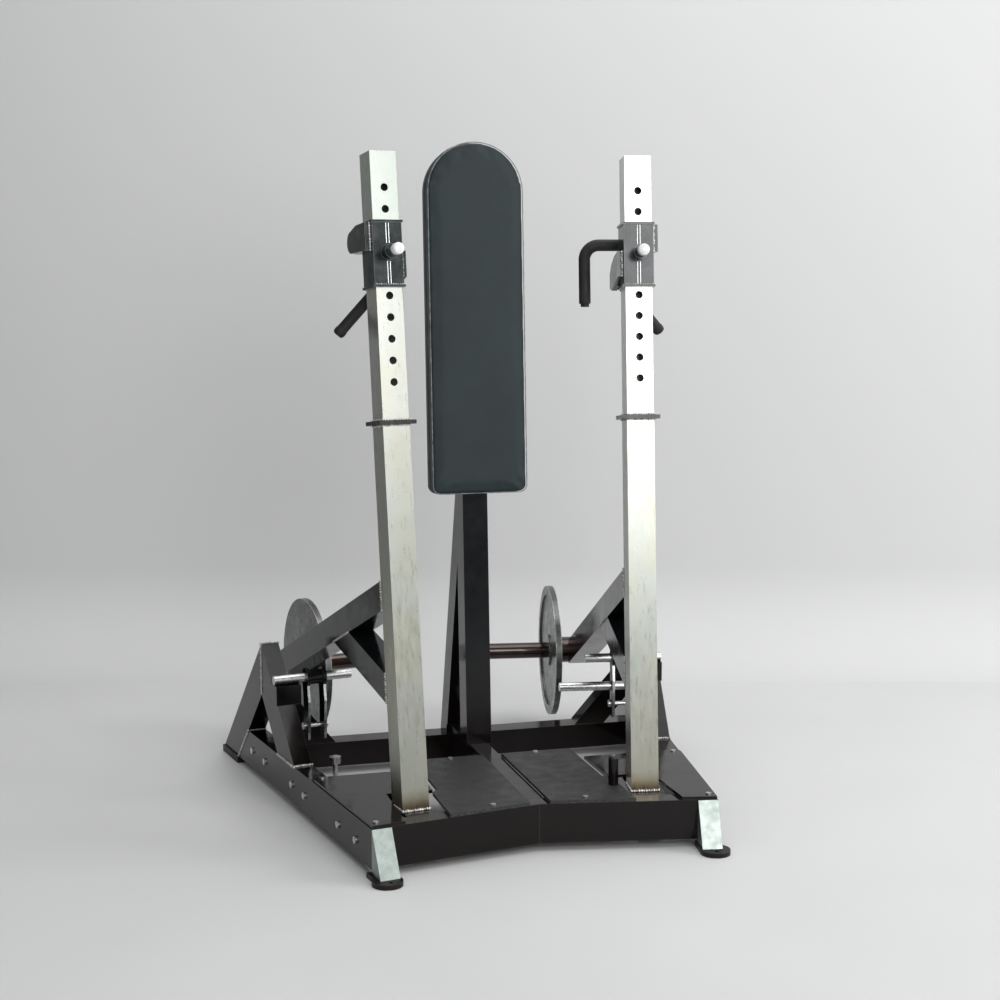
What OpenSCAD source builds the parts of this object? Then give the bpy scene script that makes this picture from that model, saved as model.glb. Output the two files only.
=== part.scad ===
// Hip thrust machine: V base with splayed rails, leaning uprights, sliding handle
// carriages, loading arms with discs, hanging levers and a tall back pad.
// Units are millimetres, +Z is up. The origin is on the floor, on the centre line,
// halfway between the front of the feet and the rear of the discs.
// +Y runs to the rear and +X to the right.

/* [Base] */
// Height of the tops of the V beam and rails above the floor
frame_top = 120; // [110:1:130]
// Height of the undersides of the V beam and rails above the floor
frame_low = 20; // [15:1:24]
// Width of the flat tubes of the base
flat_w = 50; // [44:1:54]
// Side of the square tubes
tube = 70; // [66:1:74]
// Angle each half of the front beam is swept forward
v_angle = 10.5; // [9:0.5:12]
// Angle each side rail is splayed outwards to the rear
splay = 9.3; // [8.5:0.1:10]
// Thickness of the deck plates
deck_t = 8; // [5:1:10]

/* [Uprights] */
// Half the distance between the two uprights at their feet
upright_x = 297; // [290:1:305]
// Angle the uprights lean back
lean = 6.72; // [6:0.1:7.5]
// Side of the upper square tube
upper_tube = 68; // [66:1:69]
// Distance between the adjustment holes
hole_pitch = 52; // [48:1:56]
// Diameter of the adjustment holes
hole_d = 19; // [18:0.5:21]

/* [Loading] */
// Diameter of the weight discs
disc_d = 400; // [380:5:420]
// Thickness of the weight discs
disc_t = 18; // [16:1:22]
// Diameter of the horns that carry the discs
horn_d = 49; // [46:1:50]

/* [Back rest] */
// Width of the back pad
pad_w = 273.2; // [260:0.2:290]
// Thickness of the foam
foam_t = 46; // [40:1:50]
// Thickness of the board behind the foam
board_t = 17; // [15:1:20]
// Angle the back rest leans back
back_lean = 3.5; // [3:0.1:4]

/* [Handles] */
// Diameter of the rubber grips
grip_d = 30; // [28:1:32]
// Straight drop of the curved handles
handle_drop = 158; // [140:1:160]

/* [Hidden] */
e = 0.05;                         // running and assembly clearance
half_tube = tube / 2;
origin_y = 583.25;                // from the point of the V beam back to the origin
upright_y = 58;                   // where the uprights stand behind the V point
rail_in = 110;                    // inner face of the rails in the half frame
rail_out = rail_in + flat_w;
rail_front = -116;                // front end of the rails
pad_t = 12;                       // thickness of the round front feet
ridge_r = 731;                    // ridge of the side A-frames
ridge_z = 397;
valley_z = ridge_z - flat_w * 2 * sqrt(2);
leg_end_r = ridge_r + ridge_z - frame_low;
leg_in_r = ridge_r + valley_z - frame_low;
cross_y = 804;                    // front face of the rear cross beam
cross_top = frame_low + tube;
post_z = 110;                     // height where the uprights stand
collar_s = 943;                   // collar height along the upright
collar_t = 10;
collar_w = 96;
post_len = 1605;                  // top of the upright along its axis
upper_wall = 3.5;
upper_gap = (tube - upper_tube) / 2;
hole_one_s = 1517;                // topmost adjustment hole along the axis
hole_count = 10;
arm_tilt = 22.39;                 // fall of the loading arm to the rear
arm_r = 134;
arm_z = 623;
horn_r = 1079;                    // axis of the horns
horn_z = 244;
bar_rad = 40;
collar_rad = 49.5;
disc_out = -81;                   // outboard face of the discs
horn_tip = -306;
knee_tilt = 12.13;
shaft_r = 611;                    // axis of the pivot shafts
shaft_z = 320;
shaft_rad = 12.5;
block_in = 93;                    // the block under the shaft, across
block_out = 163;
block_r = 588;
block_top = shaft_z - shaft_rad - e;
leg_line = ridge_z - ridge_r;     // height minus distance on the leg's front face
plate_a = 20;                     // inner lever plate
plate_b = 66;                     // outer lever plate
plate_t = 8;
peg_z = 238;
peg_rad = 12.5;
peg_end = -130;                   // inner end of the belt peg
shaft_end = -56;                  // inner end of the pivot shafts
lever_bolt_z = 186;
lever_bolt_rad = 6;
head_t = 8;                       // heads of the lever bolts
head_rad = 10;
pad_y = 548;                      // front of the pad at its lower edge
pad_z = 816;
pad_len = 948.8;
pad_half = pad_w / 2;
pad_corner = 27;
back_t = foam_t + board_t;
sleeve_in = upper_tube + 0.16;
sleeve_out = 76;
flange_w = 82;
flange_t = 6;
car_low = 1275.4;                 // lower end of the carriage along the upright
car_top = 1438;
lobe_t = 14;
pin_s = hole_one_s - 3 * hole_pitch * 1.00692;
pin_rad = 8;
pivot_x = 17;                     // swivel of the curved handle
pivot_y = 108;
pivot_s = 1394;
bend_rad = 38;
left_turn = 36;                   // the left curved handle stands turned to the rear
rail_bolt_t = 5;                  // heads of the bolts along the side rails
rail_bolt_rad = 9;
big = 3000;                       // longer than anything it cuts

// ---------- frames ----------

module right_half() {
  translate([upright_x, upright_y - origin_y, 0]) rotate([0, 0, -splay]) children();
}

// one side of the machine: 1 is the right side, -1 its mirror image
module half(s) {
  both_ways(s) right_half() children();
}

module both_ways(s) {
  if (s > 0) children();
  else mirror([1, 0, 0]) children();
}

module on_post() {
  translate([0, 0, post_z]) rotate([-lean, 0, 0]) children();
}

module on_arm() {
  translate([0, arm_r, arm_z]) rotate([-arm_tilt, 0, 0]) children();
}

module on_back() {
  translate([0, pad_y - origin_y, pad_z]) rotate([-back_lean, 0, 0]) children();
}

// profile drawn in rearward and up, extruded outwards from a to b
module across(a, b) {
  translate([a, 0, 0]) rotate([90, 0, 90]) linear_extrude(b - a) children();
}

// cylinder whose axis runs outwards from a to b
module rod_x(a, b, r, z, rad) {
  translate([a, r, z]) rotate([0, 90, 0]) cylinder(h = b - a, r = rad, $fn = 64);
}

module above(z) {
  translate([-big, -big, z]) cube([2 * big, 2 * big, big]);
}

// everything behind the rear face of an upright
module behind_post() {
  on_post() translate([-200, tube, -300]) cube([400, 2500, big]);
}

// ---------- base ----------

module beam_block() {
  translate([0, -origin_y, frame_low]) rotate([0, 0, -v_angle]) translate([-60, 0, 0])
    cube([560, flat_w, frame_top - frame_low]);
}

module front_beam(s) {
  color([0.03, 0.03, 0.035])
    both_ways(s)
      difference() {
        beam_block();
        translate([-200, -200 - origin_y, 0]) cube([200, 500, 300]);
        right_half() translate([rail_in, -600, -10]) cube([500, 1200, 400]);
      }
}

module front_beam_left() { front_beam(-1); }
module front_beam_right() { front_beam(1); }

module side_rail(s) {
  color([0.03, 0.03, 0.035])
    half(s) across(rail_in, rail_out)
      polygon([[rail_front, frame_low], [leg_in_r, frame_low],
               [leg_in_r - frame_top + frame_low, frame_top], [rail_front, frame_top]]);
}

module side_rail_left() { side_rail(-1); }
module side_rail_right() { side_rail(1); }

module rear_cross_beam() {
  color([0.03, 0.03, 0.035])
    difference() {
      translate([-600, cross_y - origin_y, frame_low]) cube([1200, tube, tube]);
      half(1) translate([rail_in, -200, -10]) cube([500, 1600, 400]);
      half(-1) translate([rail_in, -200, -10]) cube([500, 1600, 400]);
    }
}

module centre_beam() {
  start = flat_w / cos(v_angle) + e;
  color([0.03, 0.03, 0.035])
    translate([-flat_w / 2, start - origin_y, frame_low])
      cube([flat_w, cross_y - start, frame_top - frame_low]);
}

// everything in front of the rear face of one half of the V beam
module beam_front() {
  translate([0, -origin_y, 0]) rotate([0, 0, -v_angle])
    translate([-60, -300, 0]) cube([900, 300 + flat_w, 300]);
}

module inner_rail(s) {
  color([0.03, 0.03, 0.035])
    difference() {
      half(s) translate([-half_tube, -200, post_z - tube]) cube([tube, 490, tube]);
      both_ways(s) beam_front();
    }
}

module inner_rail_left() { inner_rail(-1); }
module inner_rail_right() { inner_rail(1); }

module front_leg(s) {
  color([0.75, 0.75, 0.76])
    half(s) across(rail_in, rail_out)
      polygon([[rail_front, frame_top - 1], [rail_front - 2, frame_top - 1],
               [rail_front - 56, pad_t], [rail_front - 12, pad_t],
               [rail_front + 54, frame_low], [rail_front, frame_low]]);
}

module front_leg_left() { front_leg(-1); }
module front_leg_right() { front_leg(1); }

module pads_side() {
  difference() {
    union() {
      translate([142, rail_front - 54, 0]) cylinder(h = pad_t, r = 37, $fn = 96);
      translate([rail_in - 4, rail_front - 54, 0]) cube([62, 70, pad_t]);
    }
    translate([141, rail_front - 72, -1]) cylinder(h = pad_t + 2, r = 5.5, $fn = 32);
  }
  translate([rail_in - 5, leg_in_r - 2, 0]) cube([flat_w + 10, leg_end_r - leg_in_r + 8, frame_low]);
}

module foot_pads() {
  color([0.2, 0.2, 0.2]) {
    half(1) pads_side();
    half(-1) pads_side();
  }
}

module frame_front_leg(s) {
  color([0.03, 0.03, 0.035])
    half(s) across(rail_in, rail_out)
      polygon([[ridge_r - ridge_z + frame_top, frame_top], [ridge_r, ridge_z],
               [ridge_r, valley_z], [ridge_r - valley_z + frame_top, frame_top]]);
}

module frame_front_leg_left() { frame_front_leg(-1); }
module frame_front_leg_right() { frame_front_leg(1); }

module frame_rear_leg(s) {
  color([0.03, 0.03, 0.035])
    half(s) across(rail_in, rail_out)
      polygon([[ridge_r, ridge_z], [leg_end_r, frame_low],
               [leg_in_r, frame_low], [ridge_r, valley_z]]);
}

module frame_rear_leg_left() { frame_rear_leg(-1); }
module frame_rear_leg_right() { frame_rear_leg(1); }

// leaning strut from the rear cross beam out to the A-frame
module bearing_strut(s) {
  color([0.03, 0.03, 0.035])
    half(s) translate([0, 790 + half_tube, 0]) rotate([90, 0, 0]) linear_extrude(tube)
      polygon([[-61.5, cross_top], [23.5, cross_top], [rail_in, 194], [rail_in, 296.6]]);
}

module bearing_strut_left() { bearing_strut(-1); }
module bearing_strut_right() { bearing_strut(1); }

// ---------- uprights ----------

module lower_post(s) {
  color([0.8, 0.79, 0.74])
    half(s) intersection() {
      on_post() translate([-half_tube, 0, -60]) cube([tube, tube, collar_s + 60]);
      above(post_z);
    }
}

module lower_post_left() { lower_post(-1); }
module lower_post_right() { lower_post(1); }

module collar() {
  on_post() translate([-collar_w / 2, (tube - collar_w) / 2, collar_s])
    cube([collar_w, collar_w, collar_t]);
}

module post_collars() {
  color([0.6, 0.58, 0.52]) {
    half(1) collar();
    half(-1) collar();
  }
}

// square tube with a row of adjustment holes in its front wall
module upper_post(s) {
  color([0.88, 0.88, 0.88])
    half(s) on_post() difference() {
      translate([-upper_tube / 2, upper_gap, collar_s + collar_t])
        cube([upper_tube, upper_tube, post_len - collar_s - collar_t - 3]);
      translate([-upper_tube / 2 + upper_wall, upper_gap + upper_wall, collar_s + collar_t - 1])
        cube([upper_tube - 2 * upper_wall, upper_tube - 2 * upper_wall, post_len]);
      for (i = [0 : hole_count - 1])
        translate([0, upper_gap - 1, hole_one_s - i * hole_pitch * 1.00692])
          rotate([-90, 0, 0]) cylinder(h = upper_wall + 2, r = hole_d / 2, $fn = 48);
    }
}

module upper_post_left() { upper_post(-1); }
module upper_post_right() { upper_post(1); }

module cap() {
  on_post() translate([-upper_tube / 2, upper_gap, post_len - 3])
    cube([upper_tube, upper_tube, 3]);
}

module post_caps() {
  color([0.8, 0.8, 0.8]) {
    half(1) cap();
    half(-1) cap();
  }
}

// ---------- loading arms ----------

module arm(s) {
  color([0.03, 0.03, 0.035])
    half(s) difference() {
      intersection() {
        on_arm() translate([-half_tube, -60, -half_tube]) cube([tube, 60 + 1012, tube]);
        behind_post();
      }
      rod_x(-200, 200, horn_r, horn_z, bar_rad);
    }
}

module arm_left() { arm(-1); }
module arm_right() { arm(1); }

module knee(s) {
  color([0.03, 0.03, 0.035])
    half(s) intersection() {
      translate([0, 121.5, 397.5]) rotate([knee_tilt, 0, 0])
        translate([-half_tube, -80, -half_tube]) cube([tube, 520, tube]);
      behind_post();
      on_arm() translate([-200, -500, -1000 - half_tube]) cube([400, 2000, 1000]);
    }
}

module knee_left() { knee(-1); }
module knee_right() { knee(1); }

module horn(s) {
  color([0.25, 0.16, 0.1])
    half(s) {
      rod_x(-57, half_tube + 8, horn_r, horn_z, bar_rad);
      rod_x(-80, -57, horn_r, horn_z, collar_rad);
      rod_x(horn_tip, -80, horn_r, horn_z, horn_d / 2);
    }
}

module horn_left() { horn(-1); }
module horn_right() { horn(1); }

// disc with a plain outboard face and a recessed web on the inboard face
module weight_plate(s) {
  color([0.05, 0.05, 0.055])
    half(s) translate([disc_out - disc_t, horn_r, horn_z]) rotate([0, 90, 0])
      difference() {
        cylinder(h = disc_t, r = disc_d / 2, $fn = 128);
        translate([0, 0, -1]) cylinder(h = disc_t + 2, r = horn_d / 2 + 0.08, $fn = 64);
        translate([0, 0, -1]) difference() {
          cylinder(h = 7, r = disc_d / 2 - 26, $fn = 128);
          translate([0, 0, -1]) cylinder(h = 9, r = 48, $fn = 64);
        }
      }
}

module weight_plate_left() { weight_plate(-1); }
module weight_plate_right() { weight_plate(1); }

// ---------- levers ----------

// wedge block on the front leg of the A-frame that carries the pivot shaft
module bearing(s) {
  color([0.05, 0.04, 0.04])
    half(s) across(block_in, block_out)
      polygon([[block_r, leg_line + block_r], [block_r, block_top],
               [block_top - leg_line, block_top]]);
}

module bearing_left() { bearing(-1); }
module bearing_right() { bearing(1); }

module pivot_shaft(s) {
  color([0.72, 0.72, 0.73])
    half(s) rod_x(shaft_end, block_out, shaft_r, shaft_z, shaft_rad);
}

module pivot_shaft_left() { pivot_shaft(-1); }
module pivot_shaft_right() { pivot_shaft(1); }

module lever_plate(a, peg) {
  across(a, a + plate_t) difference() {
    union() {
      translate([shaft_r, shaft_z]) circle(r = 26, $fn = 64);
      polygon([[shaft_r - 8, shaft_z + 24], [shaft_r + 26, shaft_z], [shaft_r + 16, 256],
               [shaft_r + 18, 150], [shaft_r - 18, 150], [shaft_r - 24, 256]]);
    }
    translate([shaft_r, shaft_z]) circle(r = shaft_rad + e, $fn = 64);
    translate([shaft_r, lever_bolt_z]) circle(r = lever_bolt_rad, $fn = 32);
    if (peg > 0) translate([shaft_r, peg_z]) circle(r = peg_rad, $fn = 64);
  }
}

module lever(s) {
  color([0.5, 0.5, 0.5])
    half(s) {
      lever_plate(plate_a, s);
      lever_plate(plate_b, s);
      difference() {
        rod_x(plate_a + plate_t, plate_b, shaft_r, shaft_z, 20);
        rod_x(plate_a, plate_b + plate_t, shaft_r, shaft_z, shaft_rad + e);
      }
    }
}

module lever_left() { lever(-1); }
module lever_right() { lever(1); }

module lever_bolts(s) {
  color([0.75, 0.75, 0.75])
    half(s) {
      rod_x(plate_a, plate_b + plate_t, shaft_r, lever_bolt_z, lever_bolt_rad);
      rod_x(plate_a - head_t, plate_a, shaft_r, lever_bolt_z, head_rad);
      rod_x(plate_b + plate_t, plate_b + plate_t + head_t, shaft_r, lever_bolt_z, head_rad);
    }
}

module lever_bolts_left() { lever_bolts(-1); }
module lever_bolts_right() { lever_bolts(1); }

module belt_peg() {
  color([0.75, 0.75, 0.76])
    half(1) rod_x(peg_end, plate_b + plate_t, shaft_r, peg_z, peg_rad);
}

// ---------- back rest ----------

module centre_post() {
  color([0.03, 0.03, 0.035])
    intersection() {
      on_back() translate([-half_tube, back_t, -800]) cube([tube, tube, 800 + 590]);
      above(frame_top);
    }
}

module centre_brace() {
  color([0.03, 0.03, 0.035])
    intersection() {
      translate([0, -origin_y, 0]) across(-half_tube, half_tube)
        polygon([[cross_y + e, cross_top], [874, cross_top], [668, 900], [596, 900],
                 [794.4, frame_top + e], [cross_y + e, frame_top + e]]);
      on_back() translate([-300, back_t + tube, -900]) cube([600, 900, 2000]);
    }
}

// upright outline with a half round top and small lower corners
module pad_outline(inset) {
  w = pad_half - inset;
  c = pad_corner - inset;
  translate([0, pad_len - pad_half]) circle(r = w, $fn = 128);
  translate([-w, inset + c]) square([2 * w, pad_len - pad_half - inset - c]);
  translate([-w + c, inset]) square([2 * w - 2 * c, c + 1]);
  translate([-w + c, inset + c]) circle(r = c, $fn = 48);
  translate([w - c, inset + c]) circle(r = c, $fn = 48);
}

module pad_board() {
  color([0.04, 0.04, 0.04])
    on_back() translate([0, back_t, 0]) rotate([90, 0, 0]) linear_extrude(board_t)
      pad_outline(5);
}

module back_pad() {
  color([0.2, 0.25, 0.26])
    on_back() translate([0, foam_t, 0]) rotate([90, 0, 0]) linear_extrude(foam_t)
      pad_outline(0);
}

// ---------- deck ----------

module foot_plate(s) {
  color([0.06, 0.06, 0.065])
    both_ways(s) translate([0, -origin_y, frame_top]) linear_extrude(deck_t)
      polygon([[26, -5], [236, -43], [236, 140], [218, 165], [218, 437], [26, 437]]);
}

module foot_plate_left() { foot_plate(-1); }
module foot_plate_right() { foot_plate(1); }

module deck_sheet(s) {
  color([0.03, 0.03, 0.035])
    both_ways(s) translate([0, -origin_y, frame_top]) linear_extrude(deck_t)
      polygon([[350, -63], [434, -82], [501, 330], [496, 348], [231, 348],
               [231, 160], [350, 160]]);
}

module deck_sheet_left() { deck_sheet(-1); }
module deck_sheet_right() { deck_sheet(1); }

module screws_side() {
  for (p = [[421, -57], [480, 333], [118, 0], [118, 425]])
    translate([p[0], p[1] - origin_y, frame_top + deck_t]) cylinder(h = 3, r = 7, $fn = 32);
}

module deck_screws() {
  color([0.7, 0.7, 0.7]) {
    screws_side();
    mirror([1, 0, 0]) screws_side();
  }
}

module bolts_side() {
  for (p = [[825, 72], [710, 70], [474, 69], [373, 66], [114, 65], [-9, 63]])
    rod_x(rail_out, rail_out + rail_bolt_t, p[0], p[1], rail_bolt_rad);
}

module rail_bolts() {
  color([0.7, 0.7, 0.7]) {
    half(1) bolts_side();
    half(-1) bolts_side();
  }
}

// ---------- carriages ----------

module sleeve_ring(w, low, h) {
  difference() {
    translate([-w / 2, half_tube - w / 2, low]) cube([w, w, h]);
    translate([-sleeve_in / 2, half_tube - sleeve_in / 2, low - 1])
      cube([sleeve_in, sleeve_in, h + 2]);
  }
}

module ear(low) {
  translate([pivot_x, pivot_y, low]) cylinder(h = 7, r = pivot_x, $fn = 48);
  translate([pivot_x, pivot_y - pivot_x, low])
    cube([sleeve_out / 2 - pivot_x, 2 * pivot_x, 7]);
}

module carriage_solid(s) {
    half(s) on_post() {
      sleeve_ring(sleeve_out, car_low, car_top - car_low);
      sleeve_ring(flange_w, car_low, flange_t);
      sleeve_ring(flange_w, car_top - flange_t, flange_t);
      across(sleeve_out / 2, sleeve_out / 2 + lobe_t) {
        polygon([[12, 1365], [112, 1370], [112, 1424], [75, 1434], [12, 1434]]);
        translate([112, 1397]) circle(r = 27, $fn = 64);
      }
      across(-sleeve_out / 2 - lobe_t, -sleeve_out / 2)
        polygon([[12, 1303], [12, 1366], [60, 1360], [105, 1342],
                 [128, 1320], [128, 1284], [100, 1276]]);
      ear(pivot_s - 24);
      ear(pivot_s + 17);
      translate([pivot_x, pivot_y, pivot_s - 24]) cylinder(h = 48, r = pin_rad, $fn = 48);
      translate([0, half_tube - sleeve_out / 2, pin_s]) rotate([90, 0, 0])
        cylinder(h = 27, r = 18, $fn = 64);
    }
}

// sleeve, flanges, lobes, ears and the guide of the pull pin, bored through
module carriage(s) {
  color([0.12, 0.13, 0.14]) difference() {
    carriage_solid(s);
    half(s) on_post() translate([0, 20, pin_s]) rotate([90, 0, 0])
      cylinder(h = 60, r = pin_rad + e, $fn = 48);
  }
}

module carriage_left() { carriage(-1); }
module carriage_right() { carriage(1); }

module pull_pin(s) {
  color([0.92, 0.92, 0.92])
    half(s) on_post() translate([0, 0.4, pin_s]) rotate([90, 0, 0]) {
      cylinder(h = 56, r = pin_rad, $fn = 48);
      translate([0, 0, 54]) cylinder(h = 24, r = 14.5, $fn = 64);
    }
}

module pull_pin_left() { pull_pin(-1); }
module pull_pin_right() { pull_pin(1); }

// straight grip from the inner lobe, falling outwards behind the upright
module straight_handle(s) {
  color([0.04, 0.04, 0.045])
    half(s) intersection() {
      translate([76, 287, 1268]) rotate([0, -41.85, 12.7]) {
        cylinder(h = 210, r = grip_d / 2 - 1, $fn = 48);
        sphere(r = grip_d / 2 - 1, $fn = 48);
      }
      translate([-sleeve_out / 2, 0, 0]) cube([400, 600, 2000]);
    }
}

module straight_handle_left() { straight_handle(-1); }
module straight_handle_right() { straight_handle(1); }

// bent grip: an eye on the swivel pin, a bar to -X, an elbow and a drop
module bent_grip() {
  g = grip_d / 2;
  reach = 138;
  tip = 8;
  difference() {
    union() {
      translate([0, 0, -g]) cylinder(h = 2 * g, r = pivot_x, $fn = 48);
      rotate([0, -90, 0]) cylinder(h = reach - bend_rad, r = g, $fn = 48);
    }
    translate([0, 0, -20]) cylinder(h = 40, r = pin_rad + e, $fn = 48);
  }
  translate([bend_rad - reach, 0, -bend_rad]) rotate([90, 0, 0])
    rotate([0, 0, 90]) rotate_extrude(angle = 90, $fn = 96)
      translate([bend_rad, 0]) circle(r = g, $fn = 48);
  translate([-reach, 0, tip - handle_drop])
    cylinder(h = handle_drop - tip - bend_rad, r = g, $fn = 48);
  translate([-reach, 0, -handle_drop]) cylinder(h = tip, r = g - 4, $fn = 48);
}

module curved_handle_right() {
  color([0.03, 0.03, 0.03])
    half(1) on_post() translate([pivot_x, pivot_y, pivot_s]) bent_grip();
}

module curved_handle_left() {
  color([0.03, 0.03, 0.03])
    translate([-upright_x, upright_y - origin_y, 0]) rotate([0, 0, splay])
      on_post() translate([-pivot_x, pivot_y, pivot_s])
        rotate([0, 0, 180 + left_turn]) bent_grip();
}

// ---------- small pieces ----------

module stop_bolt() {
  color([0.7, 0.7, 0.7])
    half(-1) translate([0, 585, 39]) {
      cylinder(h = 58, r = 7, $fn = 32);
      translate([0, 0, 40]) cylinder(h = 18, r = 18, $fn = 6);
    }
}

module deck_post() {
  color([0.1, 0.1, 0.1])
    translate([220, 83 - origin_y, frame_top + deck_t]) cylinder(h = 69, r = 12.5, $fn = 48);
}

front_beam_left();
front_beam_right();
side_rail_left();
side_rail_right();
rear_cross_beam();
centre_beam();
inner_rail_left();
inner_rail_right();
front_leg_left();
front_leg_right();
foot_pads();
frame_front_leg_left();
frame_front_leg_right();
frame_rear_leg_left();
frame_rear_leg_right();
bearing_strut_left();
bearing_strut_right();
lower_post_left();
lower_post_right();
post_collars();
upper_post_left();
upper_post_right();
post_caps();
arm_left();
arm_right();
knee_left();
knee_right();
horn_left();
horn_right();
weight_plate_left();
weight_plate_right();
bearing_left();
bearing_right();
pivot_shaft_left();
pivot_shaft_right();
lever_left();
lever_right();
lever_bolts_left();
lever_bolts_right();
belt_peg();
centre_post();
centre_brace();
pad_board();
back_pad();
foot_plate_left();
foot_plate_right();
deck_sheet_left();
deck_sheet_right();
deck_screws();
rail_bolts();
carriage_left();
carriage_right();
pull_pin_left();
pull_pin_right();
straight_handle_left();
straight_handle_right();
curved_handle_left();
curved_handle_right();
stop_bolt();
deck_post();
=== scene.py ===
import math

import bmesh
import bpy
from mathutils import Matrix, Vector


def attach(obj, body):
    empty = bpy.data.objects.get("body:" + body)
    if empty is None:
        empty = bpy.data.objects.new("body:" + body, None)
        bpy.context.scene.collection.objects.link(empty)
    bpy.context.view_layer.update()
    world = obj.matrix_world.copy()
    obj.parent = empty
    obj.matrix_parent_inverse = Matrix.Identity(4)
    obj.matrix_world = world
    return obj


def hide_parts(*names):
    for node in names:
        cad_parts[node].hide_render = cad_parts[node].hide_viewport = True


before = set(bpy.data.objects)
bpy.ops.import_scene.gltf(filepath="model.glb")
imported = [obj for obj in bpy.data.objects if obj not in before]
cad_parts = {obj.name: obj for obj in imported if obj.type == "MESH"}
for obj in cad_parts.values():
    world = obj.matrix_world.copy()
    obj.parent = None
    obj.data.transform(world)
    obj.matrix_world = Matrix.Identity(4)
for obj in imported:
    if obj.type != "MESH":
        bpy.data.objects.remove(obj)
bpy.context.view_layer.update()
scene = bpy.context.scene

# The frame's main measures, in metres and degrees
ORIGIN_Y = 0.58325
SPLAY = math.radians(9.3)
LEAN = math.radians(6.72)
BACK_LEAN = math.radians(3.5)
UPRIGHT_X = 0.297
UPRIGHT_Y = 0.058 - ORIGIN_Y
SIDES = {"left": -1, "right": 1}


def half(side):
    """Matrix from a side's own frame (outwards, rearwards, up) to the row frame."""
    m = Matrix.Translation((UPRIGHT_X, UPRIGHT_Y, 0)) @ Matrix.Rotation(-SPLAY, 4, "Z")
    return Matrix.Diagonal((side, 1, 1, 1)) @ m


def on_post(side):
    """Matrix of an upright's frame: x outwards, y rearwards from its front face, z along it."""
    return half(side) @ Matrix.Translation((0, 0, 0.110)) @ Matrix.Rotation(-LEAN, 4, "X")


def on_back():
    """Matrix of the back rest's frame: y rearwards from the pad's front, z up along it."""
    return Matrix.Translation((0, 0.548 - ORIGIN_Y, 0.816)) @ Matrix.Rotation(-BACK_LEAN, 4, "X")


# ---------- materials ----------


class Graph:
    """A small helper for building one material's nodes."""

    def __init__(self, name, color, rough, metal=0.0):
        self.mat = bpy.data.materials.new(name)
        self.mat.use_nodes = True
        self.t = self.mat.node_tree
        self.bsdf = self.t.nodes["Principled BSDF"]
        self.bsdf.inputs["Base Color"].default_value = (*color, 1)
        self.bsdf.inputs["Roughness"].default_value = rough
        self.bsdf.inputs["Metallic"].default_value = metal
        self.coords = self.t.nodes.new("ShaderNodeTexCoord").outputs["Object"]

    def node(self, kind, **values):
        n = self.t.nodes.new(kind)
        for key, value in values.items():
            if key in n.inputs:
                n.inputs[key].default_value = value
            else:
                setattr(n, key, value)
        return n

    def link(self, a, b):
        self.t.links.new(a, b)

    def noise(self, scale, detail=4.0, rough=0.55, stretch=(1, 1, 1), turn=(0, 0, 0)):
        mapping = self.node("ShaderNodeMapping")
        mapping.inputs["Scale"].default_value = stretch
        mapping.inputs["Rotation"].default_value = turn
        self.link(self.coords, mapping.inputs["Vector"])
        n = self.node("ShaderNodeTexNoise", Scale=scale, Detail=detail, Roughness=rough)
        self.link(mapping.outputs["Vector"], n.inputs["Vector"])
        return n.outputs["Fac"]

    def ramp(self, fac, stops):
        r = self.node("ShaderNodeValToRGB")
        els = r.color_ramp.elements
        while len(els) < len(stops):
            els.new(0.5)
        for el, (pos, col) in zip(els, stops):
            el.position = pos
            el.color = (*col, 1) if len(col) == 3 else col
        self.link(fac, r.inputs["Fac"])
        return r.outputs["Color"]

    def span(self, fac, low, high, lo_in=0.3, hi_in=0.7):
        m = self.node("ShaderNodeMapRange")
        m.inputs["From Min"].default_value = lo_in
        m.inputs["From Max"].default_value = hi_in
        m.inputs["To Min"].default_value = low
        m.inputs["To Max"].default_value = high
        self.link(fac, m.inputs["Value"])
        return m.outputs["Result"]

    def mix(self, fac, a, b, blend="MIX"):
        m = self.node("ShaderNodeMix", data_type="RGBA", blend_type=blend)
        for value, index in ((fac, 0), (a, 6), (b, 7)):
            if isinstance(value, (int, float)):
                m.inputs[index].default_value = value
            elif isinstance(value, tuple):
                m.inputs[index].default_value = (*value, 1)
            else:
                self.link(value, m.inputs[index])
        return m.outputs[2]

    def color(self, socket):
        self.link(socket, self.bsdf.inputs["Base Color"])

    def rough(self, socket):
        self.link(socket, self.bsdf.inputs["Roughness"])

    def bump(self, fac, strength, distance):
        b = self.node("ShaderNodeBump", Strength=strength, Distance=distance)
        self.link(fac, b.inputs["Height"])
        self.link(b.outputs["Normal"], self.bsdf.inputs["Normal"])
        return b

    def edges(self, size=0.0035):
        """1 on rounded-over edges and 0 on flats, from the bevel normal."""
        bevel = self.node("ShaderNodeBevel", Radius=size)
        bevel.samples = 4
        geo = self.node("ShaderNodeNewGeometry")
        dot = self.node("ShaderNodeVectorMath", operation="DOT_PRODUCT")
        self.link(bevel.outputs["Normal"], dot.inputs[0])
        self.link(geo.outputs["Normal"], dot.inputs[1])
        return self.span(dot.outputs["Value"], 1, 0, 0.75, 0.995)


def height(g, low, high):
    """0 at the height low and 1 at the height high, in metres."""
    sep = g.node("ShaderNodeSeparateXYZ")
    g.link(g.coords, sep.inputs["Vector"])
    return g.span(sep.outputs["Z"], 0, 1, low, high)


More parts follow.
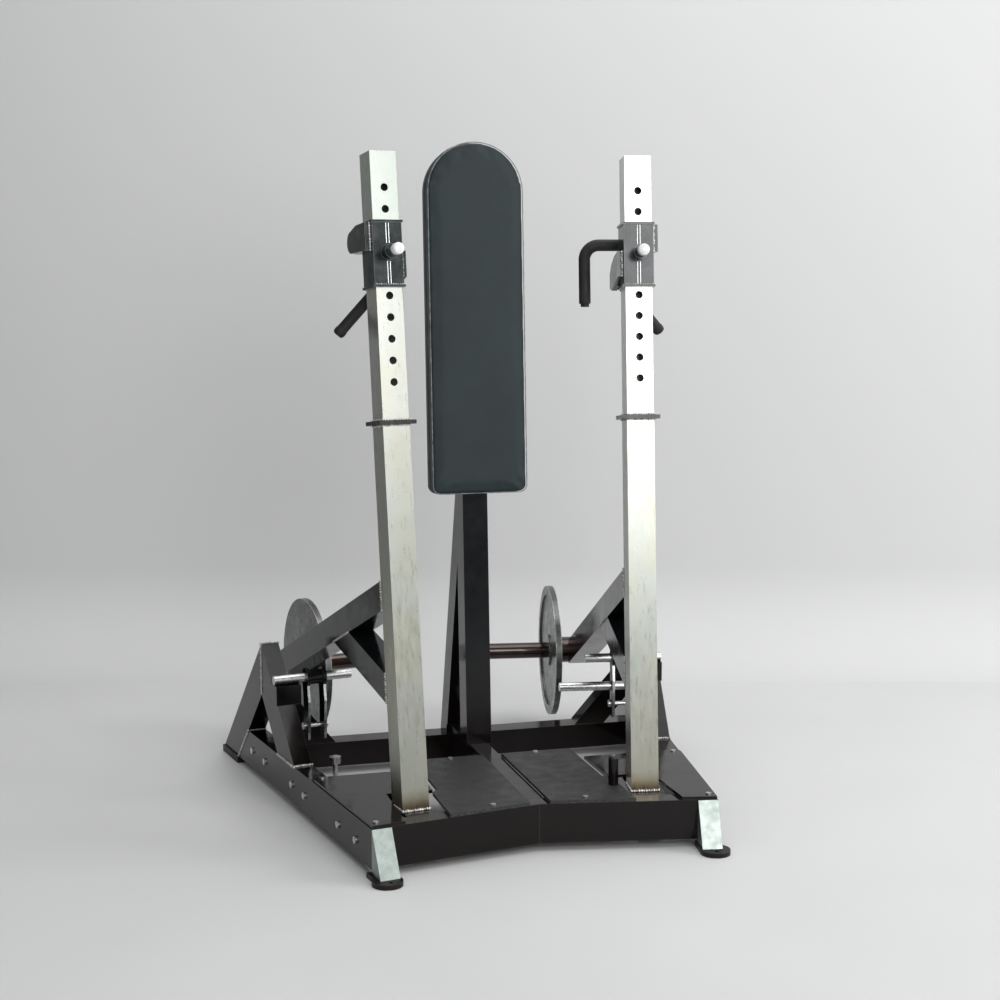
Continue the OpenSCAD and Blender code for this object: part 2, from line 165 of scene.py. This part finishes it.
def black_paint(name="black_paint", rough=0.10, level=0.26):
    """Thick gloss black with a painted reflection: warm brown-black low down and slate higher up, with dust
    and worn edges.
    """
    g = Graph(name, (0.006, 0.005, 0.005), rough)
    g.bsdf.inputs["Specular IOR Level"].default_value = level
    # painted reflection: the base is painted brown-black low down and slate higher up, by height, standing in
    # for the surroundings reflected in the gloss
    base = g.ramp(height(g, 0.0, 0.9), [
        (0.0, (0.0042, 0.0024, 0.0020)), (0.24, (0.0036, 0.0026, 0.0024)),
        (0.42, (0.0034, 0.0044, 0.0050)), (1.0, (0.0042, 0.0058, 0.0064))])
    dust = g.ramp(g.noise(11, 6, 0.62), [(0.42, (1, 1, 1)), (0.78, (1.9, 1.85, 1.8))])
    base = g.mix(1.0, base, dust, "MULTIPLY")
    base = g.mix(g.edges(0.0028), base, (0.045, 0.042, 0.040))
    g.color(base)
    g.rough(g.span(g.noise(19, 5), rough - 0.03, rough + 0.12))
    g.bump(g.noise(210, 2), 0.035, 0.0005)
    return g.mat


def post_paint():
    """Polished bare steel with a painted reflection: whiter high up and greyer low down, with green and straw
    stains low down.
    """
    g = Graph("post_paint", (0.8, 0.8, 0.78), 0.3, 0.82)
    # painted reflection: the base is painted greyer low down and whiter high up, standing in for the bright
    # surroundings reflected in the polished faces
    base = g.ramp(height(g, 0.1, 1.7), [(0.0, (0.36, 0.35, 0.30)), (0.10, (0.38, 0.38, 0.34)),
                                        (0.30, (0.45, 0.47, 0.43)), (0.56, (0.52, 0.54, 0.51)),
                                        (0.60, (0.58, 0.60, 0.57)), (1.0, (0.60, 0.62, 0.59))])
    stain = g.noise(4.5, 5, 0.6, (1, 1, 0.6))
    tint = g.ramp(stain, [(0.36, (0.86, 0.95, 0.88)), (0.5, (1, 1, 1)), (0.68, (1.0, 0.95, 0.80))])
    base = g.mix(0.75, base, tint, "MULTIPLY")
    foot = g.ramp(height(g, 0.108, 0.160), [
        (0.0, (0.34, 0.20, 0.13)), (0.55, (0.82, 0.74, 0.62)), (1.0, (1, 1, 1))])
    base = g.mix(1.0, base, foot, "MULTIPLY")
    blotch = g.noise(26, 6, 0.65)
    base = g.mix(g.span(blotch, 0, 0.18, 0.55, 0.8), base, (0.30, 0.28, 0.24))
    g.color(base)
    g.rough(g.span(g.noise(30, 4, 0.6, (5, 5, 0.5)), 0.24, 0.42))
    g.bump(g.noise(120, 3, 0.6, (3, 3, 0.3)), 0.03, 0.0003)
    return g.mat


def bare_steel(name="silver_steel", color=(0.62, 0.62, 0.62), rough=0.25, metal=1.0):
    g = Graph(name, color, rough, metal)
    fleck = g.noise(60, 6, 0.65)
    dark = tuple(c * 0.82 for c in color)
    pale = tuple(min(1, c * 1.12) for c in color)
    g.color(g.ramp(fleck, [(0.3, dark), (0.7, pale)]))
    g.rough(g.span(g.noise(35, 4), rough - 0.06, rough + 0.12))
    g.bump(g.noise(180, 3), 0.08, 0.0005)
    return g.mat


def weld_metal():
    g = Graph("weld_bead", (0.55, 0.55, 0.55), 0.3, 0.9)
    g.color(g.ramp(g.noise(120, 5), [(0.3, (0.30, 0.28, 0.26)), (0.65, (0.78, 0.78, 0.77))]))
    g.rough(g.span(g.noise(90, 3), 0.22, 0.5))
    g.bump(g.noise(400, 3), 0.2, 0.0006)
    return g.mat


def rubber_grip():
    """Matt rubber with fine moulded grain."""
    g = Graph("grip", (0.012, 0.012, 0.013), 0.62)
    g.bsdf.inputs["Specular IOR Level"].default_value = 0.35
    g.color(g.ramp(g.noise(14, 6), [(0.35, (0.007, 0.007, 0.008)), (0.7, (0.022, 0.022, 0.023))]))
    g.rough(g.span(g.noise(30, 4), 0.52, 0.72))
    g.bump(g.noise(900, 2), 0.25, 0.0008)
    return g.mat


def pad_cover():
    """Woven-look upholstery: fine crossed threads, slate green, slightly worn."""
    g = Graph("pad_cover", (0.045, 0.066, 0.072), 0.6)
    g.bsdf.inputs["Specular IOR Level"].default_value = 0.3
    g.bsdf.inputs["Sheen Weight"].default_value = 0.05
    g.bsdf.inputs["Sheen Roughness"].default_value = 0.5
    waves = []
    for turn in (math.radians(45), math.radians(-45)):
        mapping = g.node("ShaderNodeMapping")
        mapping.inputs["Rotation"].default_value = (0, turn, 0)
        g.link(g.coords, mapping.inputs["Vector"])
        w = g.node("ShaderNodeTexWave", Scale=190, Distortion=0.6, Detail=1.0)
        g.link(mapping.outputs["Vector"], w.inputs["Vector"])
        waves.append(w.outputs["Fac"])
    weave = g.node("ShaderNodeMath", operation="MULTIPLY")
    g.link(waves[0], weave.inputs[0])
    g.link(waves[1], weave.inputs[1])
    cloud = g.noise(7, 6, 0.6)
    base = g.ramp(cloud, [(0.3, (0.011, 0.019, 0.021)), (0.7, (0.022, 0.034, 0.037))])
    g.color(g.mix(g.span(weave.outputs[0], 0, 0.5, 0.2, 0.9), base, (0.036, 0.054, 0.058)))
    g.rough(g.span(cloud, 0.42, 0.6))
    g.bump(weave.outputs[0], 0.3, 0.0012)
    return g.mat


def piping():
    g = Graph("piping", (0.30, 0.32, 0.32), 0.45)
    g.color(g.ramp(g.noise(60, 4), [(0.3, (0.05, 0.06, 0.06)), (0.7, (0.30, 0.33, 0.33))]))
    g.bump(g.noise(700, 2), 0.3, 0.0008)
    return g.mat


def board_side():
    g = Graph("board", (0.010, 0.010, 0.011), 0.45)
    grain = g.noise(18, 6, 0.6, (1, 1, 0.2))
    g.color(g.ramp(grain, [(0.3, (0.006, 0.006, 0.006)), (0.7, (0.022, 0.020, 0.018))]))
    g.bump(g.noise(140, 3, 0.5, (1, 1, 0.2)), 0.1, 0.0006)
    return g.mat


def tread():
    """Black foot plate with a fine raised grain."""
    g = Graph("foot_texture", (0.02, 0.02, 0.02), 0.5)
    v = g.node("ShaderNodeTexVoronoi", Scale=230, feature="SMOOTH_F1")
    g.link(g.coords, v.inputs["Vector"])
    g.color(g.ramp(v.outputs["Distance"], [(0.1, (0.050, 0.050, 0.052)), (0.5, (0.012, 0.012, 0.013))]))
    g.rough(g.span(g.noise(25, 4), 0.4, 0.62))
    g.bump(v.outputs["Distance"], -0.35, 0.0012)
    return g.mat


def disc_iron():
    """Lacquered iron with cloudy patches and pale worn edges."""
    g = Graph("disc_iron", (0.2, 0.2, 0.2), 0.28, 0.75)
    base = g.ramp(g.noise(9, 6), [
        (0.3, (0.07, 0.066, 0.060)), (0.55, (0.13, 0.14, 0.14)), (0.75, (0.20, 0.19, 0.17))])
    g.color(g.mix(g.edges(0.004), base, (0.55, 0.55, 0.54)))
    g.rough(g.span(g.noise(50, 5), 0.22, 0.42))
    g.bump(g.noise(260, 4), 0.1, 0.0006)
    return g.mat


def horn_brown():
    g = Graph("horn_brown", (0.06, 0.032, 0.024), 0.16, 0.7)
    g.bsdf.inputs["Coat Weight"].default_value = 0.6
    streak = g.noise(16, 5, 0.6, (0.5, 1, 1))
    g.color(g.ramp(streak, [(0.3, (0.018, 0.010, 0.008)), (0.7, (0.070, 0.040, 0.030))]))
    g.rough(g.span(g.noise(50, 4), 0.10, 0.22))
    g.bump(g.noise(200, 2), 0.04, 0.0004)
    return g.mat


def ivory():
    g = Graph("knob_white", (0.86, 0.87, 0.86), 0.22)
    g.bsdf.inputs["Coat Weight"].default_value = 0.4
    g.color(g.ramp(g.noise(40, 4), [(0.3, (0.78, 0.79, 0.78)), (0.7, (0.92, 0.92, 0.91))]))
    g.rough(g.span(g.noise(70, 3), 0.16, 0.32))
    return g.mat


def carriage_paint():
    """Blue-black gloss with cloudy heat tints, as on welded and lacquered plate, and painted highlights on
    its rounded edges.
    """
    g = Graph("carriage_paint", (0.02, 0.026, 0.028), 0.15)
    g.bsdf.inputs["Specular IOR Level"].default_value = 0.5
    cloud = g.noise(22, 6, 0.62)
    base = g.ramp(cloud, [(0.3, (0.006, 0.008, 0.008)), (0.5, (0.012, 0.017, 0.018)),
                          (0.62, (0.030, 0.040, 0.042)), (0.75, (0.085, 0.105, 0.110))])
    # painted highlight: the rounded edges are painted pale grey, standing in for glints on the gloss
    g.color(g.mix(g.edges(0.0025), base, (0.22, 0.24, 0.23)))
    g.rough(g.span(g.noise(30, 4), 0.10, 0.26))
    g.bump(g.noise(160, 3), 0.06, 0.0005)
    return g.mat


MATS = {
    "black": black_paint(),
    "post": post_paint(),
    "steel": bare_steel(),
    "bright": bare_steel("bright_edge", (0.72, 0.74, 0.74), 0.2),
    "weld": weld_metal(),
    "grip": rubber_grip(),
    "pad": pad_cover(),
    "piping": piping(),
    "board": board_side(),
    "tread": tread(),
    "disc": disc_iron(),
    "horn": horn_brown(),
    "carriage": carriage_paint(),
    "collar": bare_steel("collar_steel", (0.045, 0.042, 0.040), 0.22, 0.6),
    "foot": black_paint("foot_rubber", 0.4, 0.3),
    "ivory": ivory(),
    "silver_leg": bare_steel("silver_leg", (0.31, 0.35, 0.33), 0.34, 0.85),
}

NODE_MATS = (
    ("lower_post", "post"), ("upper_post", "post"), ("post_collars", "collar"), ("post_caps", "post"),
    ("rail_bolts", "steel"), ("deck_screws", "steel"), ("stop_bolt", "steel"),
    ("pivot_shaft", "steel"), ("lever_bolts", "steel"), ("belt_peg", "steel"),
    ("front_leg", "silver_leg"), ("horn", "horn"), ("weight", "disc"),
    ("foot_plate", "tread"),
    ("foot_pads", "foot"), ("pad_board", "board"), ("curved", "grip"),
    ("straight", "grip"), ("carriage", "carriage"), ("pull_pin", "ivory"),
)

for name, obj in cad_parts.items():
    key = next((m for start, m in NODE_MATS if name.startswith(start)), "black")
    obj.data.materials.clear()
    obj.data.materials.append(MATS[key])
    bevel = obj.modifiers.new("edge", "BEVEL")
    bevel.width = 0.0022 if key in ("black", "post", "carriage", "silver_leg") else 0.001
    bevel.segments = 2
    bevel.limit_method = "ANGLE"
    bevel.angle_limit = math.radians(40)
    bevel.harden_normals = True

# ---------- helpers for pieces ----------


def put(name, bm, mat, body, smooth=True):
    """Turns a bmesh into a piece that rides on a body."""
    bmesh.ops.recalc_face_normals(bm, faces=bm.faces)
    mesh = bpy.data.meshes.new(name)
    bm.to_mesh(mesh)
    bm.free()
    for poly in mesh.polygons:
        poly.use_smooth = smooth
    mesh.materials.append(MATS[mat])
    obj = bpy.data.objects.new(name, mesh)
    scene.collection.objects.link(obj)
    if body:
        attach(obj, body)
    return obj


def bead(bm, matrix, a, b, radius=0.0035, pitch=0.006):
    """Adds a weld bead: a row of overlapping round blobs from a to b."""
    a, b = Vector(a), Vector(b)
    count = max(2, int((b - a).length / pitch))
    for i in range(count + 1):
        spot = a.lerp(b, i / count)
        wobble = 1 + 0.16 * math.sin(i * 2.3) + 0.08 * math.sin(i * 5.1)
        m = matrix @ Matrix.Translation(spot)
        bmesh.ops.create_icosphere(bm, subdivisions=2, radius=radius * wobble, matrix=m)


def loop_bead(bm, matrix, points, **kw):
    for a, b in zip(points, points[1:] + points[:1]):
        bead(bm, matrix, a, b, **kw)


def lathe(bm, matrix, profile, steps=48):
    """Adds a closed turned shape around local z from (radius, height) pairs."""
    rings = []
    for radius, z in profile:
        if radius < 1e-6:
            rings.append([bm.verts.new(matrix @ Vector((0, 0, z)))])
        else:
            rings.append([bm.verts.new(matrix @ Vector((radius * math.cos(2 * math.pi * i / steps),
                                                        radius * math.sin(2 * math.pi * i / steps), z)))
                          for i in range(steps)])
    for low, high in zip(rings, rings[1:]):
        for i in range(steps):
            j = (i + 1) % steps
            if len(low) == 1:
                bm.faces.new((low[0], high[i], high[j]))
            elif len(high) == 1:
                bm.faces.new((low[i], low[j], high[0]))
            else:
                bm.faces.new((low[i], low[j], high[j], high[i]))


# ---------- welds ----------

for word, side in SIDES.items():
    post = on_post(side)
    hf = half(side)
    bm = bmesh.new()
    w = 0.035
    loop_bead(bm, hf, [(-w, -0.001, 0.112), (w, -0.001, 0.112), (w, 0.071, 0.112), (-w, 0.071, 0.112)],
              radius=0.0045)
    for z in (0.9415, 0.9545):
        loop_bead(bm, post, [(-w, 0, z), (w, 0, z), (w, 0.07, z), (-w, 0.07, z)], radius=0.003)
    bead(bm, hf, (0.110, 0.4565, 0.1215), (0.160, 0.4565, 0.1215))
    bead(bm, hf, (0.110, 0.5935, 0.121), (0.160, 0.5935, 0.121))
    bead(bm, hf, (0.161, 0.454, 0.12), (0.161, 0.595, 0.12))
    bead(bm, hf, (0.110, 0.732, 0.3985), (0.160, 0.732, 0.3985))
    bead(bm, hf, (0.1605, 0.731, 0.395), (0.1605, 0.731, 0.258))
    bead(bm, hf, (0.110, 0.867, 0.121), (0.160, 0.867, 0.121))
    bead(bm, hf, (0.1605, 0.867, 0.119), (0.1605, 0.966, 0.022))
    for x in (-0.0355, 0.0355):
        bead(bm, hf, (x, 0.1365, 0.659), (x, 0.128, 0.588))
        bead(bm, hf, (x, 0.109, 0.432), (x, 0.101, 0.362))
        bead(bm, hf, (x, 0.3735, 0.4865), (x, 0.4835, 0.441), radius=0.003)
    put("frame_welds_" + word, bm, "weld", "frame")
    bm = bmesh.new()
    bead(bm, post, (0.0405, 0.010, 1.367), (0.0405, 0.010, 1.431), radius=0.0038)
    bead(bm, post, (-0.0405, 0.010, 1.305), (-0.0405, 0.010, 1.363), radius=0.0038)
    bead(bm, post, (-0.034, -0.0035, 1.2825), (0.034, -0.0035, 1.2825), radius=0.0022)
    put("carriage_welds_" + word, bm, "weld", "carriage_body_" + word)
    # the sleeve's closing seam: two raised lips with a groove between them
    bm = bmesh.new()
    for x in (-0.0035, 0.0035):
        for low, high in ((1.283, 1.339), (1.381, 1.431)):
            bmesh.ops.create_cube(bm, size=1, matrix=post @ Matrix.Translation((x, -0.0034, (low + high) / 2))
                                  @ Matrix.Diagonal((0.0022, 0.0022, high - low, 1)))
    seam = put("sleeve_seam_" + word, bm, "bright", "carriage_body_" + word, False)
    mod = seam.modifiers.new("round", "BEVEL")
    mod.width = 0.0008
    mod.segments = 2

# ---------- pull pin knobs ----------

for word, side in SIDES.items():
    pin = on_post(side) @ Matrix.Translation((0, 0.0004, 1.35992)) @ Matrix.Rotation(math.pi / 2, 4, "X")
    bm = bmesh.new()
    lathe(bm, pin, [(0, 0.0), (0.006, 0.0), (0.008, 0.002), (0.008, 0.054), (0.0125, 0.0545),
                    (0.0142, 0.057), (0.0145, 0.062), (0.0145, 0.071), (0.0138, 0.0755),
                    (0.0112, 0.0778), (0, 0.078)])
    knob = put("pin_knob_" + word, bm, "ivory", "pin_body_" + word)
    knob.data.materials.append(MATS["steel"])
    for poly in knob.data.polygons:
        spot = pin.inverted() @ poly.center
        if spot.z < 0.0543:
            poly.material_index = 1
    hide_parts("pull_pin_" + word)

# ---------- grip end caps ----------

for word, side in SIDES.items():
    hf = half(side)
    tip = Vector((0.076, 0.287, 1.268))
    up = Matrix.Rotation(math.radians(12.7), 4, "Z") @ Matrix.Rotation(math.radians(-41.85), 4, "Y")
    bm = bmesh.new()
    place = hf @ Matrix.Translation(tip) @ up
    lathe(bm, place, [(0.0, -0.0143), (0.009, -0.0141), (0.0132, -0.0118), (0.0152, -0.006),
                      (0.0153, 0.002), (0.0143, 0.005), (0.0141, 0.006)])
    put("grip_cap_" + word, bm, "grip", "carriage_body_" + word)

# ---------- lever edges, bright strips as painted glints ---

for word, side in SIDES.items():
    hf = half(side)
    bm = bmesh.new()
    # painted glint: thin bright steel strips on the front edges of both lever plates stand in for the glints
    # on those edges
    for a in (0.020, 0.066):
        path = [(0.603, 0.344), (0.595, 0.300), (0.587, 0.256), (0.593, 0.150)]
        for (r0, z0), (r1, z1) in zip(path, path[1:]):
            v = [bm.verts.new(hf @ Vector(p)) for p in (
                (a + 0.0006, r0 - 0.0004, z0), (a + 0.0074, r0 - 0.0004, z0),
                (a + 0.0074, r1 - 0.0004, z1), (a + 0.0006, r1 - 0.0004, z1),
                (a + 0.0006, r0 + 0.002, z0), (a + 0.0074, r0 + 0.002, z0),
                (a + 0.0074, r1 + 0.002, z1), (a + 0.0006, r1 + 0.002, z1))]
            for f in ((0, 1, 2, 3), (4, 7, 6, 5), (0, 3, 7, 4), (1, 5, 6, 2), (0, 4, 5, 1), (3, 2, 6, 7)):
                bm.faces.new([v[i] for i in f])
    put("lever_glint_strip_" + word, bm, "bright", "lever_body_" + word, False)

# ---------- the back pad ----------

PAD_HALF = 0.1366
PAD_LEN = 0.9488
FOAM = 0.046
CORNER = 0.027


def outline(inset, steps=10):
    """The pad's outline in (x, z), counter-clockwise from the lower left corner."""
    w = PAD_HALF - inset
    c = CORNER - inset
    top = PAD_LEN - PAD_HALF
    pts = []
    for cx, cz, start, r, n in ((-w + c, inset + c, 180, c, 6), (w - c, inset + c, 270, c, 6)):
        for i in range(n + 1):
            t = math.radians(start + 90 * i / n)
            pts.append((cx + r * math.cos(t), cz + r * math.sin(t)))
    for i in range(1, steps * 3 + 1):
        pts.append((w, inset + c + (top - inset - c) * i / (steps * 3)))
    for i in range(1, steps * 3):
        t = math.pi * i / (steps * 3)
        pts.append((w * math.cos(t), top + w * math.sin(t)))
    for i in range(0, steps * 3):
        pts.append((-w, top - (top - inset - c) * i / (steps * 3)))
    return pts


def pad_block(shrink):
    """The foam as a closed block, a little smaller than its space so that it can swell."""
    bm = bmesh.new()
    pts = outline(shrink)
    m = on_back()
    front = [bm.verts.new(m @ Vector((x, shrink, z))) for x, z in pts]
    back = [bm.verts.new(m @ Vector((x, FOAM - 0.0006, z))) for x, z in pts]
    bm.faces.new(front)
    bm.faces.new(list(reversed(back)))
    for i in range(len(pts)):
        j = (i + 1) % len(pts)
        bm.faces.new((front[i], back[i], back[j], front[j]))
    return bm


def inflate(obj):
    """Remeshes the pad and lets cloth pressure round it, then caps how far it moved."""
    bpy.context.view_layer.objects.active = obj
    remesh = obj.modifiers.new("remesh", "REMESH")
    remesh.mode = "VOXEL"
    remesh.voxel_size = 0.006
    bpy.ops.object.modifier_apply(modifier="remesh")
    start = [v.co.copy() for v in obj.data.vertices]
    inverse = on_back().inverted()
    pin = obj.vertex_groups.new(name="pin")
    for v in obj.data.vertices:
        y = (inverse @ v.co).y
        pin.add([v.index], 1.0 if y > FOAM - 0.004 else 0.0, "REPLACE")
    cloth = obj.modifiers.new("cloth", "CLOTH")
    cloth.settings.use_pressure = True
    cloth.settings.uniform_pressure_force = 4
    cloth.settings.effector_weights.gravity = 0
    cloth.settings.vertex_group_mass = "pin"
    cloth.settings.quality = 4
    cloth.point_cache.frame_start = 1
    cloth.point_cache.frame_end = 20
    for f in range(1, 21):
        scene.frame_set(f)
    bpy.ops.object.modifier_apply(modifier="cloth")
    cap = 0.005
    for v, s in zip(obj.data.vertices, start):
        move = v.co - s
        if move.length > cap:
            v.co = s + move.normalized() * cap
    scene.frame_set(1)


def smooth_piece(obj):
    for poly in obj.data.polygons:
        poly.use_smooth = True


bm = pad_block(0.0020)
pad = put("back_pad_cover", bm, "pad", None)
for o in bpy.context.selected_objects:
    o.select_set(False)
pad.select_set(True)
inflate(pad)
relax = pad.modifiers.new("relax", "SMOOTH")
relax.factor = 0.5
relax.iterations = 3
bpy.ops.object.modifier_apply(modifier="relax")
sub = pad.modifiers.new("fine", "SUBSURF")
sub.levels = 1
sub.render_levels = 1
bpy.ops.object.modifier_apply(modifier="fine")
smooth_piece(pad)
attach(pad, "frame")
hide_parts("back_pad")


def tube_loop(name, pts, radius, mat, body, sides=10):
    """A closed round cord along points in the row frame."""
    bm = bmesh.new()
    n = len(pts)
    rings = []
    normal = on_back().to_3x3() @ Vector((0, 1, 0))
    for i, p in enumerate(pts):
        d = (pts[(i + 1) % n] - pts[i - 1]).normalized()
        u = normal.cross(d).normalized()
        rings.append([bm.verts.new(p + radius * (math.cos(2 * math.pi * k / sides) * u
                                                 + math.sin(2 * math.pi * k / sides) * normal))
                      for k in range(sides)])
    for i in range(n):
        a, b = rings[i], rings[(i + 1) % n]
        for k in range(sides):
            bm.faces.new((a[k], a[(k + 1) % sides], b[(k + 1) % sides], b[k]))
    return put(name, bm, mat, body)


m = on_back()
tube_loop("pad_piping", [m @ Vector((x, 0.0018, z)) for x, z in outline(0.0058, 14)], 0.0013,
          "piping", "frame")

# ---------- floor, light and camera ----------

HEADING = math.radians(15.76)
CAM_AT = Vector((-1.2106, -3.9319 - ORIGIN_Y, 1.402))
TILT = math.radians(7.354)     # the camera looks down by this
LENS = 62.34
SCREEN_X = -1.75
SCREEN_FRONT = -0.4
SCREEN_BACK = 5.2
SCREEN_TOP = 4.5
WALL_AWAY = 6.25     # from the camera to the wall, over the floor
COVE = 0.35          # radius where the floor curves up into the wall


def stage(name, bm, mat, smooth=False):
    mesh = bpy.data.meshes.new(name)
    bm.to_mesh(mesh)
    bm.free()
    for poly in mesh.polygons:
        poly.use_smooth = smooth
    mesh.materials.append(mat)
    obj = bpy.data.objects.new(name, mesh)
    scene.collection.objects.link(obj)
    return obj


def backdrop():
    """A pale floor, and a wall behind that only shows from its front."""
    g = Graph("floor", (0.5, 0.5, 0.5), 0.6)
    g.bsdf.inputs["Specular IOR Level"].default_value = 0.2
    g.color(g.ramp(g.noise(0.8, 3), [(0.3, (0.60, 0.60, 0.60)), (0.7, (0.64, 0.64, 0.64))]))
    bm = bmesh.new()
    far = 16.0
    bm.faces.new([bm.verts.new(p) for p in ((-far, -far, 0), (far, -far, 0), (far, far, 0), (-far, far, 0))])
    stage("floor", bm, g.mat)
    w = Graph("wall", (0.5, 0.5, 0.5), 0.7)
    w.bsdf.inputs["Specular IOR Level"].default_value = 0.1
    sep = w.node("ShaderNodeSeparateXYZ")
    w.link(w.coords, sep.inputs["Vector"])
    # painted shade: the wall is painted a little darker towards the left and lighter towards the right
    wall_painted_shade = w.span(sep.outputs["X"], 0, 1, -2.0, 3.0)
    w.color(w.ramp(wall_painted_shade, [(0.0, (0.60, 0.60, 0.60)), (1.0, (0.64, 0.64, 0.64))]))
    clear = w.node("ShaderNodeBsdfTransparent")
    geo = w.node("ShaderNodeNewGeometry")
    pick = w.node("ShaderNodeMixShader")
    out = w.t.nodes["Material Output"]
    w.link(geo.outputs["Backfacing"], pick.inputs[0])
    w.link(w.bsdf.outputs[0], pick.inputs[1])
    w.link(clear.outputs[0], pick.inputs[2])
    w.link(pick.outputs[0], out.inputs["Surface"])
    ahead = Vector((math.sin(HEADING), math.cos(HEADING), 0))
    side = Vector((math.cos(HEADING), -math.sin(HEADING), 0))
    foot = Vector((CAM_AT.x, CAM_AT.y, 0)) + ahead * WALL_AWAY
    rows = []
    bm = bmesh.new()
    steps = 12
    for i in range(steps + 2):
        t = min(i, steps) / steps * math.pi / 2
        up = COVE * (1 - math.cos(t)) + (9.0 if i > steps else 0.0)
        spot = foot + ahead * COVE * (math.sin(t) - 1) + Vector((0, 0, up + 0.0005))
        rows.append([bm.verts.new(spot + side * k * 8.0) for k in (-1, 1)])
    for a, b in zip(rows, rows[1:]):
        bm.faces.new((a[0], a[1], b[1], b[0]))
    stage("wall", bm, w.mat, smooth=True)


def dark_screen():
    """A dark sheet on the left that only reflections see, so that polished sides read dark."""
    g = Graph("screen", (0.02, 0.02, 0.02), 0.9)
    g.bsdf.inputs["Specular IOR Level"].default_value = 0.0
    g.color(g.ramp(height(g, 0.0, 3.0), [
        (0.0, (0.030, 0.022, 0.018)), (0.25, (0.035, 0.030, 0.026)), (1.0, (0.020, 0.026, 0.028))]))
    bm = bmesh.new()
    corners = ((SCREEN_FRONT, 0.002), (SCREEN_BACK, 0.002),
               (SCREEN_BACK, SCREEN_TOP), (SCREEN_FRONT, SCREEN_TOP))
    bm.faces.new([bm.verts.new((SCREEN_X, y, z)) for y, z in corners])
    screen = stage("screen", bm, g.mat)
    screen.visible_camera = False
    screen.visible_diffuse = False
    screen.visible_shadow = False


backdrop()
dark_screen()

world = bpy.data.worlds.new("world")
scene.world = world
world.use_nodes = True
world.node_tree.nodes["Background"].inputs["Color"].default_value = (0.78, 0.79, 0.80, 1)
world.node_tree.nodes["Background"].inputs["Strength"].default_value = 0.55


def area(name, place, target, size, power):
    data = bpy.data.lights.new(name, "AREA")
    data.shape = "RECTANGLE"
    data.size, data.size_y = size
    data.energy = power
    obj = bpy.data.objects.new(name, data)
    obj.location = place
    obj.rotation_euler = (Vector(target) - Vector(place)).to_track_quat("-Z", "Y").to_euler()
    scene.collection.objects.link(obj)


area("key", (0.6, -5.6, 2.6), (0, 0, 0.9), (3.4, 2.6), 135)
area("fill_right", (4.2, -1.6, 2.6), (0, 0, 0.8), (2.0, 3.0), 90)
area("top", (0.6, 0.2, 4.6), (0.2, 0.4, 0.2), (3.5, 3.5), 95)

cam_data = bpy.data.cameras.new("camera")
cam_data.sensor_width = 36
cam_data.lens = LENS
cam = bpy.data.objects.new("camera", cam_data)
cam.location = CAM_AT
cam.rotation_euler = (math.pi / 2 - TILT, 0, -HEADING)
scene.collection.objects.link(cam)
scene.camera = cam
scene.view_settings.view_transform = "Standard"
